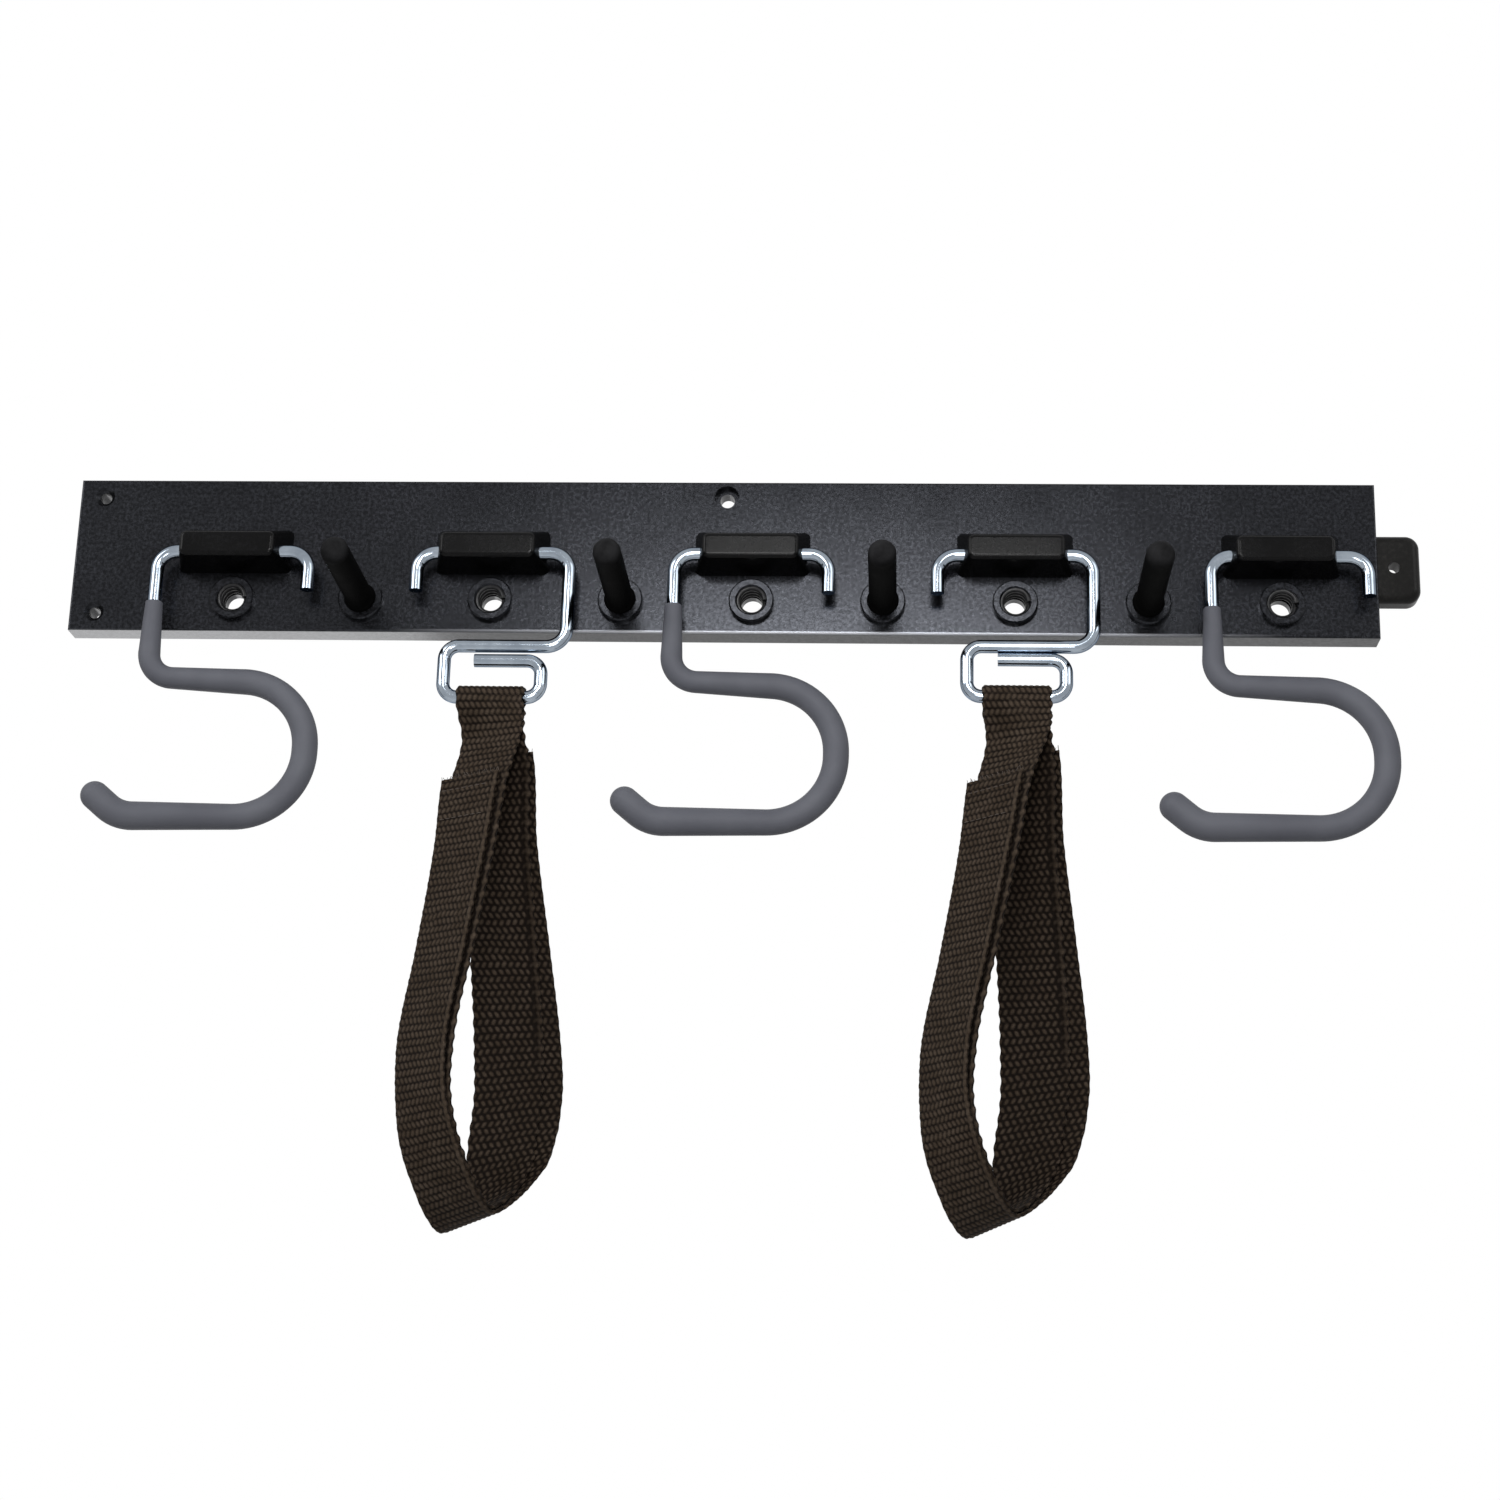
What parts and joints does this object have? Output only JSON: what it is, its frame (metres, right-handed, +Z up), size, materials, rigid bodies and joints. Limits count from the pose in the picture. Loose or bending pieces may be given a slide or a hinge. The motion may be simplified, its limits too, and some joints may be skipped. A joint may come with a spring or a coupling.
{
  "type": "storage rail",
  "caption": "Long black wall rail with swinging coated S-hooks, wire strap hooks holding webbing loops, rubber pegs and a joining tongue, for hanging cleaning tools.",
  "frame": {"origin": "middle of the rail's flat back face, which lies on the wall", "axes": "+X along the rail to the end with the joining tongue, +Y into the wall, +Z up"},
  "size_m": [0.5165, 0.0675, 0.2902],
  "materials": {
    "rail": "fine-textured black",
    "tongue": "satin black",
    "retainer": "satin-gloss black",
    "screw": "bright zinc plate",
    "peg": "soft black rubber",
    "wire": "bright zinc plate",
    "dip": "satin grey dipped coating",
    "webbing": "dark brown ribbed webbing"
  },
  "bodies": {
    "rail": {"rail_body": "rail", "joining_tongue": "tongue", "hook_retainer_1": "retainer", "hook_retainer_2": "retainer", "hook_retainer_3": "retainer", "hook_retainer_4": "retainer", "hook_retainer_5": "retainer", "retainer_screws": "screw", "peg_1": "peg", "peg_2": "peg", "peg_3": "peg", "peg_4": "peg"},
    "tool_hook_1": {"tool_hook_wire_1": "wire", "tool_hook_dip_1": "dip"},
    "tool_hook_2": {"tool_hook_wire_2": "wire", "tool_hook_dip_2": "dip"},
    "tool_hook_3": {"tool_hook_wire_3": "wire", "tool_hook_dip_3": "dip"},
    "strap_hook_1": {"strap_hook_wire_1": "wire"},
    "strap_1": {"strap_loop_1": "webbing", "strap_cover_1": "webbing"},
    "strap_hook_2": {"strap_hook_wire_2": "wire"},
    "strap_2": {"strap_loop_2": "webbing", "strap_cover_2": "webbing"}
  },
  "joints": [
    {"name": "tool_hook_1_hinge", "type": "hinge", "parent": "rail", "child": "tool_hook_1", "pos_m": [-0.1858, -0.0195, -0.0022], "axis": [-1, 0, 0], "range_deg": [-7, 185]},
    {"name": "tool_hook_2_hinge", "type": "hinge", "parent": "rail", "child": "tool_hook_2", "pos_m": [0.0131, -0.0195, -0.0022], "axis": [-1, 0, 0], "range_deg": [-7, 185]},
    {"name": "tool_hook_3_hinge", "type": "hinge", "parent": "rail", "child": "tool_hook_3", "pos_m": [0.215, -0.0195, -0.0022], "axis": [-1, 0, 0], "range_deg": [-7, 185]},
    {"name": "strap_hook_1_hinge", "type": "hinge", "parent": "rail", "child": "strap_hook_1", "pos_m": [-0.0854, -0.0195, -0.0022], "axis": [-1, 0, 0], "range_deg": [-12, 188]},
    {"name": "strap_1_swing", "type": "hinge", "parent": "strap_hook_1", "child": "strap_1", "pos_m": [-0.0829, -0.0195, -0.0601], "axis": [-1, 0, 0], "range_deg": [-100, 110]},
    {"name": "strap_hook_2_hinge", "type": "hinge", "parent": "rail", "child": "strap_hook_2", "pos_m": [0.1126, -0.0195, -0.0022], "axis": [-1, 0, 0], "range_deg": [-12, 188]},
    {"name": "strap_2_swing", "type": "hinge", "parent": "strap_hook_2", "child": "strap_2", "pos_m": [0.1136, -0.0195, -0.0582], "axis": [-1, 0, 0], "range_deg": [-100, 110]}
  ]
}
